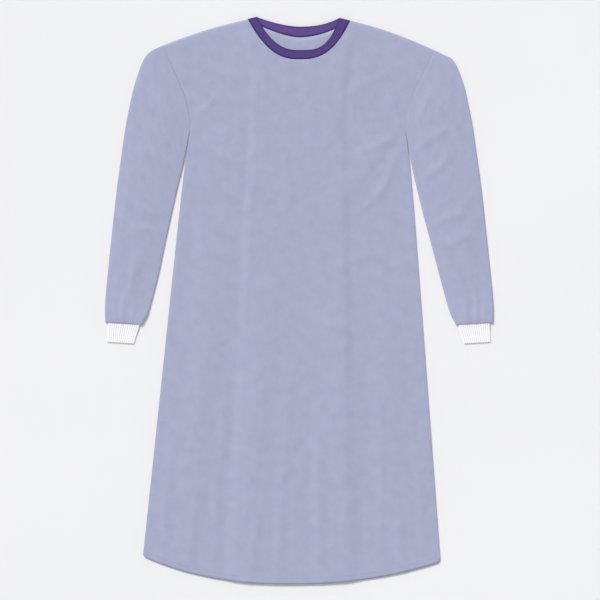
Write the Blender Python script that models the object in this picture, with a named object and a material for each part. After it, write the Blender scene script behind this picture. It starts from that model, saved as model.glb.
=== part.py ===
"""Surgical gown laid flat on a surface with its front up.

Metres. +X is the viewer's right, +Y runs up to the neck and +Z is up off the surface, z = 0.
Every piece is one closed cloth wall. Pieces are drawn on a symmetric pattern and then
moved by lay(), which gives the small lean and the lower shoulder of the gown as it lies.
"""

import math
from collections import namedtuple

import bmesh
import bpy

# Cloth: one wall for each layer, and what keeps neighbours apart
WALL = 0.0012
BINDING_WALL = 0.0016
SEAM_GAP = 0.0003
LAYER_RISE = BINDING_WALL + SEAM_GAP

# Heights along the gown, from its middle
HEM_Y = -0.6232
HEM_CORNER_Y = -0.5690
ARMPIT_Y = 0.3720
SHOULDER_Y = 0.5608

# Half widths of the body, laid flat
CHEST_HALF = 0.2367
SKIRT_HALF = 0.2417
SKIRT_FLARE = 0.0898
UNDERARM_EASE = 0.0600
SHOULDER_HALF = 0.2990
SHOULDER_ARCH = 0.0045
ARMHOLE_HOLLOW = 0.0115
UNDERARM_SKEW = 0.5
HEM_POWER = 2.3

# Neck: each curve runs from its middle up to a side point on the left and on the right,
# and the right side of the neck lies a little lower. The seam is where the binding joins the
# cloth, and the edge is the free edge of the binding.
NECK_HALF = 0.1110
NeckSide = namedtuple("NeckSide", "half side_y power")
NeckCurve = namedtuple("NeckCurve", "middle_y left right")
FRONT_SEAM = NeckCurve(0.5315, NeckSide(NECK_HALF, 0.6187, 2.40), NeckSide(NECK_HALF, 0.6155, 2.80))
FRONT_EDGE = NeckCurve(0.5502, NeckSide(0.0928, 0.6232, 2.48), NeckSide(0.0885, 0.6208, 3.60))
BACK_SEAM = NeckCurve(0.5800, NeckSide(NECK_HALF, 0.6187, 1.55), NeckSide(NECK_HALF, 0.6155, 1.90))
BACK_EDGE = NeckCurve(0.6020, NeckSide(0.0928, 0.6232, 1.65), NeckSide(0.0885, 0.6208, 2.44))

# How the gown lies: the skirt leans to one side, its hem tilts and one shoulder lies lower
HEM_TILT = 0.0060
HEM_TILT_ENDS_Y = 0.0000
LEAN = 0.0145
LEAN_ENDS_Y = 0.0200
LEAN_FULL_Y = 0.2830
LOW_SHOULDER_DROP = 0.0160
LOW_SHOULDER_FROM = 0.0915
LOW_SHOULDER_TO = 0.4190
LOW_SHOULDER_CORNER = 0.3140
LOW_SHOULDER_END = 0.3600
LOW_SHOULDER_FADE = 0.1500

# The back opens down its middle. Each flap reaches across the whole neck, so both free
# edges lie under the neck's side points, as a share of the half width at every height.
FLAP_REACH = NECK_HALF / SHOULDER_HALF
FLAP_RAMP = 0.0900
RAMP_CLEARANCE = 0.0050
SAME_COLUMN = 0.0010

# Grid of the panels, as shares of the half width and of the height
NECK_COLUMNS = 8
SIDE_COLUMNS = (0.461, 0.560, 0.700, 0.850, 1.000)
FRONT_SKIRT_ROWS = 20
BACK_SKIRT_ROWS = 9
ARMHOLE_ROWS = 6

# Soft folds of the front, as ridges from a start point to an end point
Fold = namedtuple("Fold", "start_x start_y end_x end_y half_width height")
FRONT_FOLDS = (
    Fold(-0.062, 0.060, -0.098, -0.660, 0.034, 0.0022),
    Fold(0.090, 0.120, 0.128, -0.650, 0.038, 0.0024),
    Fold(-0.178, 0.210, -0.232, -0.610, 0.032, 0.0019),
    Fold(0.196, 0.060, 0.238, -0.620, 0.030, 0.0018),
    Fold(-0.196, 0.385, -0.052, 0.215, 0.026, 0.0016),
    Fold(0.190, 0.370, 0.060, 0.170, 0.028, 0.0018),
    Fold(-0.150, 0.560, -0.085, 0.400, 0.026, 0.0012),
    Fold(0.158, 0.550, 0.100, 0.410, 0.024, 0.0011),
)
FOLD_TAPER = 0.6
FOLD_FREE_SIDE = 0.15
FOLD_FREE_TOP = 0.08

# Sleeve, from the armhole to the wrist: where its outer and its inner edge lie
Station = namedtuple("Station", "outer_x outer_y inner_x inner_y")
SLEEVE_STATIONS = (
    Station(SHOULDER_HALF, SHOULDER_Y, CHEST_HALF, ARMPIT_Y),
    Station(0.3145, 0.5543, 0.2408, 0.3520),
    Station(0.3262, 0.5476, 0.2437, 0.3350),
    Station(0.3362, 0.5378, 0.2468, 0.3180),
    Station(0.3475, 0.5160, 0.2505, 0.3000),
    Station(0.3618, 0.4735, 0.2545, 0.2820),
    Station(0.3702, 0.4385, 0.2610, 0.2550),
    Station(0.3804, 0.3870, 0.2700, 0.2170),
    Station(0.3900, 0.3220, 0.2795, 0.1770),
    Station(0.4011, 0.2400, 0.2925, 0.1240),
    Station(0.4104, 0.1560, 0.3040, 0.0740),
    Station(0.4187, 0.0770, 0.3165, 0.0250),
    Station(0.4245, 0.0180, 0.3255, -0.0080),
    Station(0.4266, -0.0200, 0.3340, -0.0330),
    Station(0.4258, -0.0475, 0.3445, -0.0525),
)
SLEEVE_BOW_RINGS = 5
SLEEVE_LEAN_RINGS = 2
SLEEVE_LOFT = 0.0022
LOFT_FULL_FROM = 0.30
LOFT_FULL_TO = 0.70
LOFT_ENDS = 0.95
SLIT = LAYER_RISE - WALL
WRIST_SLIT = 0.0034
WRIST_SLIT_FROM = 0.80
WRIST_SLIT_FULL = 0.97
EDGE_ANGLES = (0.0, 45.0, 90.0)

# Knitted cuff, which starts inside the end of the sleeve
CUFF_WALL = 0.0010
CUFF_RIB = 0.0003
CUFF_SLIT = 0.0002
CUFF_RIBS = 14
CUFF_TILT = math.radians(3.6)
CuffRow = namedtuple("CuffRow", "centre_x centre_y width rest")
CUFF_ROWS = (
    CuffRow(0.3823, -0.0350, 0.0735, WALL + SEAM_GAP),
    CuffRow(0.3848, -0.0520, 0.0695, WALL + SEAM_GAP),
    CuffRow(0.3883, -0.0720, 0.0640, 0.0004),
    CuffRow(0.3920, -0.0935, 0.0583, 0.0),
)

# Section of the neck binding: across it from the seam to its free edge, and up its height
Corner = namedtuple("Corner", "across up")
BINDING_SECTION = (
    Corner(0.00, 0.00),
    Corner(1.00, 0.00),
    Corner(1.00, 0.55),
    Corner(0.94, 1.00),
    Corner(0.50, 0.90),
    Corner(0.08, 1.00),
    Corner(0.00, 0.70),
)
BINDING_SEAM_GAP = 0.00042

# Finishes: a linear colour and a roughness
Finish = namedtuple("Finish", "colour roughness")
CLOTH = Finish((0.402, 0.423, 0.584, 1.0), 0.85)
BINDING = Finish((0.105, 0.060, 0.227, 1.0), 0.70)
KNIT = Finish((0.900, 0.900, 0.920, 1.0), 0.90)
SHARP_ANGLE = math.radians(40)


def smooth_step(value, start, end):
    """0 before start, 1 after end, and a soft rise between them."""
    share = min(max((value - start) / (end - start), 0.0), 1.0)
    return share * share * (3.0 - 2.0 * share)


def mix(first, second, share):
    return first + (second - first) * share


def lay(x, y, lean_share=1.0):
    """Moves a point of the symmetric pattern to where it lies."""
    lean = LEAN * max(SHOULDER_Y - y, 0.0) * lean_share
    drop = LOW_SHOULDER_DROP * smooth_step(x, LOW_SHOULDER_FROM, LOW_SHOULDER_TO)
    drop *= 1.0 - smooth_step(x, LOW_SHOULDER_CORNER, LOW_SHOULDER_END)
    drop *= smooth_step(y, ARMPIT_Y, ARMPIT_Y + LOW_SHOULDER_FADE)
    tilt = HEM_TILT * (x / side_half(HEM_CORNER_Y)) ** 3
    tilt *= 1.0 - smooth_step(y, HEM_CORNER_Y, HEM_TILT_ENDS_Y)
    return x - lean, y - drop - tilt


def side_half(y):
    """Half width of the body below the armpit."""
    below = ARMPIT_Y - y
    ease = (SKIRT_HALF - CHEST_HALF) * math.exp(-below / UNDERARM_EASE)
    return SKIRT_HALF + SKIRT_FLARE * below - ease


def armhole_hollow(share):
    """How far the armhole curves in from its chord, from the armpit (0) to the shoulder (1).

    The curve is deepest below its middle, where the sleeve goes under the arm.
    """
    turn = math.pi * share
    return ARMHOLE_HOLLOW * math.sin(turn) * (1.0 + UNDERARM_SKEW * math.cos(turn))


def armhole_half(share):
    return mix(CHEST_HALF, SHOULDER_HALF, share) - armhole_hollow(share)


def hem_y(x):
    share = abs(x) / side_half(HEM_CORNER_Y)
    return HEM_Y + (HEM_CORNER_Y - HEM_Y) * share**HEM_POWER


def shoulder_y(x, neck_side_y):
    share = (abs(x) - NECK_HALF) / (SHOULDER_HALF - NECK_HALF)
    return mix(neck_side_y, SHOULDER_Y, share) + SHOULDER_ARCH * math.sin(math.pi * share)


def neck_point(curve, turn):
    """Point of a neck curve: turn is -1 at its left side point, 0 in the middle, 1 at its right."""
    side = curve.right if turn > 0.0 else curve.left
    return turn * side.half, mix(curve.middle_y, side.side_y, abs(turn) ** side.power)


def top_y(share, seam):
    """Upper edge of a panel: its shoulders, and its neck seam between them."""
    if abs(share) > FLAP_REACH:
        side = seam.right if share > 0.0 else seam.left
        return shoulder_y(share * SHOULDER_HALF, side.side_y)
    return neck_point(seam, share / FLAP_REACH)[1]


def climb(share):
    """0 where one layer of the back lies underneath, 1 where two do."""
    foot = -FLAP_REACH - FLAP_RAMP
    return smooth_step(share, foot, -FLAP_REACH - RAMP_CLEARANCE)


def inner_flap_rest(share):
    """The inner flap lies on the surface, and climbs onto the outer flap at its free edge."""
    return LAYER_RISE * climb(share)


def front_rest(share):
    """The front lies on the back, one layer deep at the sides and two in the middle."""
    return LAYER_RISE * (1.0 + climb(-abs(share)))


def fold_height(x, y):
    """Sum of the soft ridges of the front at a point."""
    total = 0.0
    for fold in FRONT_FOLDS:
        run_x = fold.end_x - fold.start_x
        run_y = fold.end_y - fold.start_y
        from_x = x - fold.start_x
        from_y = y - fold.start_y
        length = math.hypot(run_x, run_y)
        along = (from_x * run_x + from_y * run_y) / length**2
        across = (from_x * run_y - from_y * run_x) / length
        if 0.0 < along < 1.0:
            crest = fold.height * math.sin(math.pi * along) ** FOLD_TAPER
            total += crest * math.exp(-((across / fold.half_width) ** 2))
    return total


def add_material(name, finish):
    material = bpy.data.materials.new(name)
    material.use_nodes = True
    shader = material.node_tree.nodes["Principled BSDF"]
    shader.inputs["Base Color"].default_value = finish.colour
    shader.inputs["Roughness"].default_value = finish.roughness
    shader.inputs["Metallic"].default_value = 0.0
    return material


def add_object(name, vertices, faces, finish):
    """One closed body with its faces turned out."""
    mesh = bpy.data.meshes.new(name)
    mesh.from_pydata(vertices, [], faces)
    shape = bmesh.new()
    shape.from_mesh(mesh)
    bmesh.ops.recalc_face_normals(shape, faces=shape.faces)
    shape.to_mesh(mesh)
    shape.free()
    mesh.materials.append(add_material(name, finish))
    mesh.shade_smooth()
    mesh.set_sharp_from_angle(angle=SHARP_ANGLE)
    piece = bpy.data.objects.new(name, mesh)
    bpy.context.scene.collection.objects.link(piece)
    return piece


def add_panel(name, rows):
    """A cloth panel from rows of (x, y, rest height): an under face, an outer face and a rim."""
    count = len(rows[0])
    vertices = [(x, y, rest) for row in rows for x, y, rest in row]
    under_total = len(vertices)
    vertices += [(x, y, rest + WALL) for x, y, rest in vertices]
    faces = []
    for row in range(len(rows) - 1):
        for column in range(count - 1):
            corner = row * count + column
            quad = (corner, corner + 1, corner + count + 1, corner + count)
            faces.append(quad[::-1])
            faces.append(tuple(under_total + index for index in quad))
    last = len(rows) - 1
    rim = list(range(count))
    rim += [row * count + count - 1 for row in range(1, len(rows))]
    rim += [last * count + column for column in range(count - 2, -1, -1)]
    rim += [row * count for row in range(last - 1, 0, -1)]
    for here, there in zip(rim, rim[1:] + rim[:1]):
        faces.append((here, there, under_total + there, under_total + here))
    return add_object(name, vertices, faces, CLOTH)


def ring_faces(first, second):
    """Quads between two closed rings of vertex numbers."""
    return [
        (here, there, second[index - len(first) + 1], second[index])
        for index, (here, there) in enumerate(zip(first, first[1:] + first[:1]))
    ]


def add_tube(name, outer_rings, inner_rings, finish):
    """A flattened tube, open at both ends, from matching rings of its two faces."""
    vertices = []
    numbered = []
    for rings in (outer_rings, inner_rings):
        sides = []
        for ring in rings:
            sides.append(list(range(len(vertices), len(vertices) + len(ring))))
            vertices += ring
        numbered.append(sides)
    outer, inner = numbered
    faces = []
    for index in range(len(outer) - 1):
        faces += ring_faces(outer[index], outer[index + 1])
        faces += ring_faces(inner[index + 1], inner[index])
    faces += ring_faces(inner[0], outer[0])
    faces += ring_faces(outer[-1], inner[-1])
    return add_object(name, vertices, faces, finish)


def add_bar(name, rings, finish):
    """A solid strip from matching closed sections, capped at both ends."""
    vertices = [point for ring in rings for point in ring]
    count = len(rings[0])
    numbered = [list(range(index * count, index * count + count)) for index in range(len(rings))]
    faces = [tuple(numbered[0]), tuple(numbered[-1][::-1])]
    for first, second in zip(numbered, numbered[1:]):
        faces += ring_faces(first, second)
    return add_object(name, vertices, faces, finish)


def panel_columns():
    """Shares of the half width, from the viewer's left side of the gown to the right."""
    neck = [FLAP_REACH * index / NECK_COLUMNS for index in range(NECK_COLUMNS + 1)]
    right = neck + list(SIDE_COLUMNS)
    return [-share for share in right[:0:-1]] + right


def panel_levels(skirt_rows):
    """Heights of the rows at the side seam, with the half width of the body at each."""
    skirt = []
    for row in range(skirt_rows):
        y = mix(HEM_CORNER_Y, ARMPIT_Y, row / skirt_rows)
        skirt.append((y, side_half(y)))
    armhole = []
    for row in range(ARMHOLE_ROWS + 1):
        share = row / ARMHOLE_ROWS
        armhole.append((mix(ARMPIT_Y, SHOULDER_Y, share), armhole_half(share)))
    return skirt + armhole


def panel_rows(columns, skirt_rows, seam, rest_height):
    rows = []
    for level_y, half in panel_levels(skirt_rows):
        up = (level_y - HEM_CORNER_Y) / (SHOULDER_Y - HEM_CORNER_Y)
        row = []
        for share in columns:
            foot_y = hem_y(share * side_half(HEM_CORNER_Y))
            head_y = top_y(share, seam)
            x = share * half
            y = mix(foot_y, head_y, up)
            row.append((*lay(x, y), rest_height(share, x, y, up)))
        rows.append(row)
    return rows


def front_panel():
    def rest(share, x, y, up):
        free = smooth_step(1.0 - abs(share), 0.0, FOLD_FREE_SIDE)
        free *= smooth_step(1.0 - up, 0.0, FOLD_FREE_TOP)
        return front_rest(share) + fold_height(x, y) * free

    add_panel("front", panel_rows(panel_columns(), FRONT_SKIRT_ROWS, FRONT_SEAM, rest))


def back_flap(name, columns, rest_height):
    def rest(share, x, y, up):
        return rest_height(share)

    add_panel(name, panel_rows(columns, BACK_SKIRT_ROWS, BACK_SEAM, rest))


def back_flaps():
    columns = panel_columns()
    outer = [share for share in columns if share > -FLAP_REACH - SAME_COLUMN]
    inner = [share for share in columns if share < FLAP_REACH + SAME_COLUMN]
    back_flap("back_left_outer", outer, lambda share: 0.0)
    back_flap("back_right_inner", inner, inner_flap_rest)


def binding_rings(seam, edge, rest):
    """Sections of a neck binding at the columns of the panels, from side to side."""
    rings = []
    for share in panel_columns():
        if abs(share) > FLAP_REACH + SAME_COLUMN:
            continue
        seam_x, seam_y = neck_point(seam, share / FLAP_REACH)
        edge_x, edge_y = neck_point(edge, share / FLAP_REACH)
        width = math.hypot(edge_x - seam_x, edge_y - seam_y)
        ring = []
        for corner in BINDING_SECTION:
            reach = mix(BINDING_SEAM_GAP / width, 1.0, corner.across)
            x, y = lay(mix(seam_x, edge_x, reach), mix(seam_y, edge_y, reach))
            ring.append((x, y, rest + corner.up * BINDING_WALL))
        rings.append(ring)
    return rings


def neck_bindings():
    pieces = (
        ("neck_binding_front", FRONT_SEAM, FRONT_EDGE, 2 * LAYER_RISE),
        ("neck_binding_back_inner", BACK_SEAM, BACK_EDGE, LAYER_RISE),
        ("neck_binding_back_outer", BACK_SEAM, BACK_EDGE, 0.0),
    )
    for name, seam, edge, rest in pieces:
        add_bar(name, binding_rings(seam, edge, rest), BINDING)


def edge_profile():
    """Steps round a quarter circle: how far in from its edge, and how far up from its middle."""
    turns = [math.radians(angle) for angle in EDGE_ANGLES]
    return [(1.0 - math.cos(turn), math.sin(turn)) for turn in turns]


def flat_ring(place, width, radius, middle, shares):
    """Ring round a flattened tube: over its top from edge to edge, then back underneath.

    place(distance from the inner edge) gives a plan point and how far the top is lifted there.
    """
    near = [(middle - radius * (1.0 - inset), up) for inset, up in edge_profile()]
    far = [(width - distance, up) for distance, up in near[::-1]]
    over = near + [(width * share, 1.0) for share in shares] + far
    under = [(distance, -up) for distance, up in over[-2:0:-1]]
    ring = []
    for distance, up in over + under:
        x, y, lift = place(distance)
        ring.append((x, y, middle + up * radius + (lift if up > 0.0 else 0.0)))
    return ring


def sleeve_rings(side):
    shares = [row / ARMHOLE_ROWS for row in range(1, ARMHOLE_ROWS)]
    outer_rings = []
    inner_rings = []
    for index, station in enumerate(SLEEVE_STATIONS):
        down = index / (len(SLEEVE_STATIONS) - 1)
        slit = mix(SLIT, WRIST_SLIT, smooth_step(down, WRIST_SLIT_FROM, WRIST_SLIT_FULL))
        bow = max(1.0 - index / SLEEVE_BOW_RINGS, 0.0) ** 2
        body_lean = max(1.0 - index / SLEEVE_LEAN_RINGS, 0.0)
        loft = SLEEVE_LOFT * smooth_step(down, 0.0, LOFT_FULL_FROM)
        loft *= 1.0 - smooth_step(down, LOFT_FULL_TO, LOFT_ENDS)
        width = math.hypot(station.outer_x - station.inner_x, station.outer_y - station.inner_y)

        def place(distance):
            across = distance / width
            x = mix(station.inner_x, station.outer_x, across) + SEAM_GAP
            x -= bow * armhole_hollow(across)
            y = mix(station.inner_y, station.outer_y, across)
            lean = mix(1.0 - across, 1.0, body_lean) * smooth_step(y, LEAN_ENDS_Y, LEAN_FULL_Y)
            return *lay(side * x, y, lean), loft * math.sin(math.pi * across)

        middle = WALL + slit / 2.0
        outer_rings.append(flat_ring(place, width, middle, middle, shares))
        inner_rings.append(flat_ring(place, width, slit / 2.0, middle, shares))
    return outer_rings, inner_rings


def sleeves():
    for name, side in (("sleeve_right", -1.0), ("sleeve_left", 1.0)):
        add_tube(name, *sleeve_rings(side), CLOTH)


def raise_ribs(ring, rest, middle):
    """Lifts a cuff ring to its rest height, and every second point of its top into a rib."""
    first_rib = len(EDGE_ANGLES)
    last_rib = first_rib + 2 * CUFF_RIBS - 2
    lifted = []
    for index, (x, y, z) in enumerate(ring):
        on_rib = first_rib <= index <= last_rib and (index - first_rib) % 2 == 0
        lifted.append((x, y, z + rest + (CUFF_RIB if on_rib and z > middle else 0.0)))
    return lifted


def cuff_rings(side):
    """Rings of a ribbed cuff: ribs raised on its outer face, plain inside."""
    shares = [step / (2 * CUFF_RIBS) for step in range(1, 2 * CUFF_RIBS)]
    middle = CUFF_WALL + CUFF_SLIT / 2.0
    outer_rings = []
    inner_rings = []
    for row in CUFF_ROWS:

        def place(distance):
            offset = distance - row.width / 2.0
            x = row.centre_x + offset * math.cos(CUFF_TILT)
            y = row.centre_y + offset * math.sin(CUFF_TILT)
            return side * x, y, 0.0

        outer = flat_ring(place, row.width, middle, middle, shares)
        inner = flat_ring(place, row.width, CUFF_SLIT / 2.0, middle, shares)
        outer_rings.append(raise_ribs(outer, row.rest, middle))
        inner_rings.append([(x, y, z + row.rest) for x, y, z in inner])
    return outer_rings, inner_rings


def cuffs():
    for name, side in (("cuff_right", -1.0), ("cuff_left", 1.0)):
        add_tube(name, *cuff_rings(side), KNIT)


def clear_scene():
    for piece in list(bpy.data.objects):
        bpy.data.objects.remove(piece, do_unlink=True)


def main():
    clear_scene()
    back_flaps()
    front_panel()
    neck_bindings()
    sleeves()
    cuffs()


main()
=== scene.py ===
# %% [markdown]
# # A surgical gown, laid flat on a pale table
# The gown is a plain periwinkle garment: an A-line front, two back flaps that wrap over each
# other, two long sleeves, a purple binding round the neck and two white knitted cuffs.
# The solid model of it is loaded first, as a fixed frame. Every piece below is a thin cloth
# shell that lies where its solid lies, with the folds, seams, stitches and weave that a solid
# leaves out. The frame is +X to the viewer's right, +Y up to the neck, +Z up off the table.

import math
from collections import namedtuple

import bpy
import numpy as np
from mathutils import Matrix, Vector


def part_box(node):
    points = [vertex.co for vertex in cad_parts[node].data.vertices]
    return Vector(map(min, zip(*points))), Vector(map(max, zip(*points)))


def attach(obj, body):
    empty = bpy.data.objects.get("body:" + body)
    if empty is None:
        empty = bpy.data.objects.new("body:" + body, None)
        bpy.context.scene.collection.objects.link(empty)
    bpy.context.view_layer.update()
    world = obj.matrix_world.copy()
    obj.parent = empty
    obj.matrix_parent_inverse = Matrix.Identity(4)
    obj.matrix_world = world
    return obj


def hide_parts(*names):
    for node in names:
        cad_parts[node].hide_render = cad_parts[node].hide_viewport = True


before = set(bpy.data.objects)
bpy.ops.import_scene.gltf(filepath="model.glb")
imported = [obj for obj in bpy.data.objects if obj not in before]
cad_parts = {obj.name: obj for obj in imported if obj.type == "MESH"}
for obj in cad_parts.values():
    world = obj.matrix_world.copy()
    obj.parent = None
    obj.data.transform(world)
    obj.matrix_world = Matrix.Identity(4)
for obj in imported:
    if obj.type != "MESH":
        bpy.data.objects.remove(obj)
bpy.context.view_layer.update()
MM = 0.001
print("solids:", sorted(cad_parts))

# %% [markdown]
# ## Camera, light and table
# A garment cut out on white reads as one photographed from straight above. A long lens keeps
# the hem and the neck at nearly the same scale. The picture is 600 pixels square and a pixel
# is 2.2 mm of cloth, which gives the width of the view; its middle is a little to the side of
# the gown's own middle. A camera with no rotation looks straight down, with +Y up.

# %% Camera
PIXEL_MM = 2.2
PICTURE_PIXELS = 600
VIEW_CENTRE = (2.2 * MM, 1.1 * MM)
LENS_MM = 85.0
SENSOR_MM = 36.0

view_width = PICTURE_PIXELS * PIXEL_MM * MM
camera_height = view_width * LENS_MM / SENSOR_MM
camera_data = bpy.data.cameras.new("camera")
camera_data.lens = LENS_MM
camera_data.sensor_width = SENSOR_MM
camera = bpy.data.objects.new("camera", camera_data)
camera.location = (*VIEW_CENTRE, camera_height)
bpy.context.scene.collection.objects.link(camera)
bpy.context.scene.camera = camera
bpy.context.scene.view_settings.view_transform = "Standard"
print("the camera is", round(camera_height, 3), "m above the table")

# %% [markdown]
# Cloth laid flat shows its form only by shading, so the light has to come from one side. A
# sun lamp with a wide angle stands for a large, distant softbox: it lights the hem and the
# neck alike, where a near lamp would fade across a garment over a metre long. The world
# lights what the softbox leaves dark. Together they give a level white surface a brightness
# of about one, so that a colour picked from the photo comes back as it went in.

# %% Light
SOFTBOX_STRENGTH = 2.75
SOFTBOX_ANGLE = math.radians(18)
SOFTBOX_HEIGHT = math.radians(36)
SOFTBOX_TURN = math.radians(128)
ROOM_STRENGTH = 0.46
ROOM_COLOUR = (0.985, 0.99, 1.0, 1.0)

softbox_data = bpy.data.lights.new("softbox", "SUN")
softbox_data.energy = SOFTBOX_STRENGTH
softbox_data.angle = SOFTBOX_ANGLE
softbox = bpy.data.objects.new("softbox", softbox_data)
from_light = Vector((math.cos(SOFTBOX_TURN), math.sin(SOFTBOX_TURN), math.tan(SOFTBOX_HEIGHT)))
softbox.rotation_euler = from_light.to_track_quat("Z", "Y").to_euler()
bpy.context.scene.collection.objects.link(softbox)

room = bpy.data.worlds.new("room")
room.use_nodes = True
room.node_tree.nodes["Background"].inputs["Color"].default_value = ROOM_COLOUR
room.node_tree.nodes["Background"].inputs["Strength"].default_value = ROOM_STRENGTH
bpy.context.scene.world = room
print("softbox", math.degrees(SOFTBOX_HEIGHT), "degrees above the table")

# %% [markdown]
# ## Building materials from nodes
# Colours are written as the hex values that a picture editor shows. Those are sRGB, and a
# shader needs linear light, so one function turns them. A second small function adds any
# node, sets its settings and makes its links, so that a material reads as a list of steps.
# A noise seldom leaves the middle of its range, so that middle is what gets spread out.

# %% Colour and node helpers
NOISE_LOW = 0.3
NOISE_HIGH = 0.7
Finish = namedtuple("Finish", "roughness specular sheen sheen_roughness")


def linear(hex_colour):
    """The linear colour of an sRGB hex value, by the standard's own curve."""
    channels = [int(hex_colour[start:start + 2], 16) / 255 for start in (1, 3, 5)]
    curved = [c / 12.92 if c <= 0.04045 else ((c + 0.055) / 1.055) ** 2.4 for c in channels]
    return (*curved, 1.0)


def add_node(tree, kind, links=None, values=None, **settings):
    """Adds one node: settings are its attributes, values its sockets' own values, and links
    what feeds its sockets, which is another socket or a node by its first output."""
    node = tree.nodes.new("ShaderNode" + kind)
    for name, value in settings.items():
        setattr(node, name, value)
    for socket, value in (values or {}).items():
        node.inputs[socket].default_value = value
    for socket, source in (links or {}).items():
        if isinstance(source, bpy.types.Node):
            source = source.outputs[0]
        tree.links.new(source, node.inputs[socket])
    return node


def new_material(name):
    """An empty material with its Principled shader, ready for its steps."""
    material = bpy.data.materials.new(name)
    material.use_nodes = True
    return material, material.node_tree, material.node_tree.nodes["Principled BSDF"]


def finish_material(tree, shader, colour, bump, finish):
    """Joins the colour and the relief to the shader, and sets how the surface takes light."""
    tree.links.new(colour.outputs[2], shader.inputs["Base Color"])
    tree.links.new(bump.outputs["Normal"], shader.inputs["Normal"])
    shader.inputs["Roughness"].default_value = finish.roughness
    shader.inputs["Specular IOR Level"].default_value = finish.specular
    shader.inputs["Sheen Weight"].default_value = finish.sheen
    shader.inputs["Sheen Roughness"].default_value = finish.sheen_roughness


print("cloth colour in linear light:", [round(c, 3) for c in linear("#A7ABC6")])

# %% [markdown]
# ## Nonwoven cloth
# Gowns like this are made of spunbonded polypropylene: fine fibres are laid down at random,
# and a heated roller with small raised points welds them into a sheet. The eye gets three
# things from that. The sheet is matt, with a faint bloom where light grazes it. It is
# cloudy, since the fibres lie thicker in some places than others. And it has rows of tiny
# dimples, one at each weld. Real welds are about 1.2 mm apart, too fine for a picture where
# a pixel is 2.2 mm, so they are drawn 3.2 mm apart and shallow.
# The pattern runs on each piece's own cut, so each mesh carries a UV map in metres.

# %% Nonwoven cloth material
WELD_PITCH_MM = 3.2
WELD_SHARE_FROM = 0.45
WELD_SHARE_TO = 0.95
WELD_TINT = 0.5
CLOUD_MM = 26.0
CLOUD_DETAIL = 5.0
CLOUD_ROUGHNESS = 0.62
FIBRE_MM = 1.6
FIBRE_DETAIL = 3.0
FIBRE_TWIST = 1.6
CLOTH_BUMP_MM = 0.12
CLOTH_BUMP_STRENGTH = 0.4
CLOTH_FINISH = Finish(roughness=0.78, specular=0.22, sheen=0.10, sheen_roughness=0.45)


def millimetres(tree):
    """The piece's own cut as a coordinate, in millimetres."""
    cut = add_node(tree, "UVMap", uv_map="cut")
    return add_node(tree, "VectorMath", {0: cut.outputs["UV"]},
                    {"Scale": 1.0 / MM}, operation="SCALE").outputs["Vector"]


def nonwoven(name, thin, even, thick):
    """Cloth in three tones, from where its fibres lie thin to where they lie thick."""
    material, tree, shader = new_material(name)
    cut = millimetres(tree)
    cloud = add_node(tree, "TexNoise", {"Vector": cut},
                     {"Scale": 1.0 / CLOUD_MM, "Detail": CLOUD_DETAIL, "Roughness": CLOUD_ROUGHNESS})
    fibre = add_node(tree, "TexNoise", {"Vector": cut},
                     {"Scale": 1.0 / FIBRE_MM, "Detail": FIBRE_DETAIL, "Distortion": FIBRE_TWIST})
    split = add_node(tree, "SeparateXYZ", {0: cut})
    waves = []
    for axis in ("X", "Y"):
        turn = add_node(tree, "Math", {0: split.outputs[axis]},
                        {1: math.pi / WELD_PITCH_MM}, operation="MULTIPLY")
        waves.append(add_node(tree, "Math", {0: turn}, operation="SINE"))
    grid = add_node(tree, "Math", {0: waves[0], 1: waves[1]}, operation="MULTIPLY")
    weld = add_node(tree, "MapRange", {"Value": grid},
                    {"From Min": WELD_SHARE_FROM, "From Max": WELD_SHARE_TO})
    shade = add_node(tree, "ValToRGB", {"Fac": cloud})
    tones = shade.color_ramp.elements
    tones[0].position = NOISE_LOW
    tones[0].color = linear(thin)
    tones[1].position = NOISE_HIGH
    tones[1].color = linear(thick)
    tones.new((NOISE_LOW + NOISE_HIGH) / 2.0).color = linear(even)
    dimple = add_node(tree, "Math", {0: weld}, {1: WELD_TINT}, operation="MULTIPLY")
    colour = add_node(tree, "Mix", {0: dimple, 6: shade.outputs["Color"]},
                      {7: linear(thin)}, data_type="RGBA")
    relief = add_node(tree, "Math", {0: fibre, 1: weld}, operation="SUBTRACT")
    bump = add_node(tree, "Bump", {"Height": relief},
                    {"Strength": CLOTH_BUMP_STRENGTH, "Distance": CLOTH_BUMP_MM * MM})
    finish_material(tree, shader, colour, bump, CLOTH_FINISH)
    return material


gown_cloth = nonwoven("spunbonded_polypropylene", "#A2A6C3", "#A7ABC6", "#ABAFC9")
print("weld points drawn every", WELD_PITCH_MM, "mm")

# %% [markdown]
# ## Bias tape for the neck
# The neck is bound with purple tape, woven from polyester and cotton and cut on the bias, at
# 45 degrees to its threads, which is what lets it bend round a neck. So its weave crosses the
# tape in diagonals. The threads are 0.4 mm apart and are drawn 1.4 mm apart, and those that
# lean one way show more, as warp threads do. Each long edge is turned under, and there the
# purple is painted deeper: painted shade where the tape rolls under, and the layers beneath.

# %% Bias tape material
THREAD_PITCH_MM = 1.4
WEFT_SHOWS = 0.4
TAPE_WIDTH_MM = 19.0
EDGE_SHADE_MM = 3.5
DYE_PATCHES_PER_MM = 0.09
DYE_DETAIL = 4.0
DYE_DEEPENS = 0.18
TAPE_BUMP_MM = 0.10
TAPE_BUMP_STRENGTH = 0.45
TAPE_FINISH = Finish(roughness=0.75, specular=0.08, sheen=0.02, sheen_roughness=0.35)


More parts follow.
